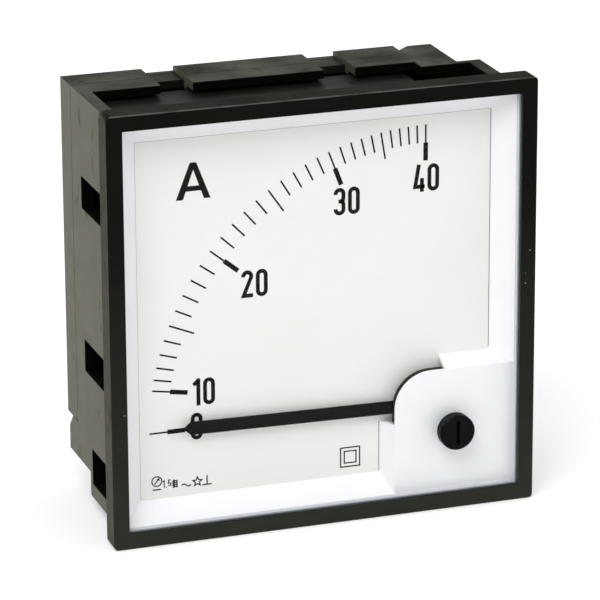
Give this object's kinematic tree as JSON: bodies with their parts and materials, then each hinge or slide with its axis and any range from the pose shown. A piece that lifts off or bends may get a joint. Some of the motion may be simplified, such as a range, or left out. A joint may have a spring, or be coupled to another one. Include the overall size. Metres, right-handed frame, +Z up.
{
  "type": "analog panel meter",
  "caption": "Square flush panel ammeter with a quarter-circle scale, corner-pivoted pointer, zero adjuster, clamp-mounted case and rear screw terminals.",
  "frame": {"origin": "centre of the square panel cut-out, in the plane of the panel's front face, where the front frame's back rests", "axes": "+Y runs into the panel, away from the reader; +Z is up the dial; +X is to the reader's right"},
  "size_m": [0.096, 0.0585, 0.096],
  "materials": {
    "bezel_black": "satin",
    "case_grey": "matte",
    "window": "gloss",
    "mask_white": "satin",
    "dial_white": "matte",
    "inner_black": "matte",
    "adjuster_black": "satin",
    "pointer_black": "matte",
    "turned_brass": "satin",
    "spring_bronze": "satin",
    "bright_steel": "satin",
    "soft_iron": "matte",
    "frame_aluminium": "satin",
    "bobbin_natural": "satin",
    "enamelled_wire": "gloss",
    "lead_sleeve": "satin",
    "plated_brass": "satin"
  },
  "bodies": {
    "case": {"bezel": "bezel_black", "window_glass": "window", "front_mask": "mask_white", "dial_plate": "dial_white", "dial_carrier": "inner_black", "front_bridge": "inner_black", "bridge_screws": "bright_steel", "front_bearing_screw": "turned_brass", "fixed_vane": "soft_iron", "coil_bobbin": "bobbin_natural", "coil_winding": "enamelled_wire", "magnetic_shield": "soft_iron", "movement_frame": "frame_aluminium", "frame_screws": "bright_steel", "rear_bearing_screw": "turned_brass", "rear_bearing_nut": "turned_brass", "coil_leads": "lead_sleeve", "housing": "case_grey", "rear_cover": "case_grey", "cover_screws": "bright_steel", "terminal_studs": "plated_brass", "terminal_washers": "plated_brass", "lock_washers": "bright_steel", "terminal_nuts": "plated_brass"},
    "pointer": {"pointer": "pointer_black", "spindle": "bright_steel", "balance_cross": "turned_brass", "balance_weights": "turned_brass", "moving_vane": "soft_iron", "hairspring": "spring_bronze"},
    "zero_screw": {"zero_adjuster": "adjuster_black"},
    "zero_lever": {"zero_lever": "turned_brass"}
  },
  "joints": [
    {"name": "pointer_swing", "type": "hinge", "parent": "case", "child": "pointer", "pos_m": [0.025, 0, -0.025], "axis": [0, 1, 0], "range_deg": [-3, 92], "stiffness_Nm_per_rad": 0.00005, "deforming": ["hairspring"]},
    {"name": "zero_screw_turn", "type": "hinge", "parent": "case", "child": "zero_screw", "pos_m": [0.0296, 0, -0.03], "axis": [0, 1, 0], "range_deg": [-40, 40]},
    {"name": "zero_lever_turn", "type": "hinge", "parent": "case", "child": "zero_lever", "pos_m": [0.025, 0, -0.025], "axis": [0, 1, 0], "range_deg": [-7, 7]}
  ],
  "couplings": [
    {"joint": "zero_lever_turn", "follows": "zero_screw_turn", "ratio": -0.16}
  ]
}
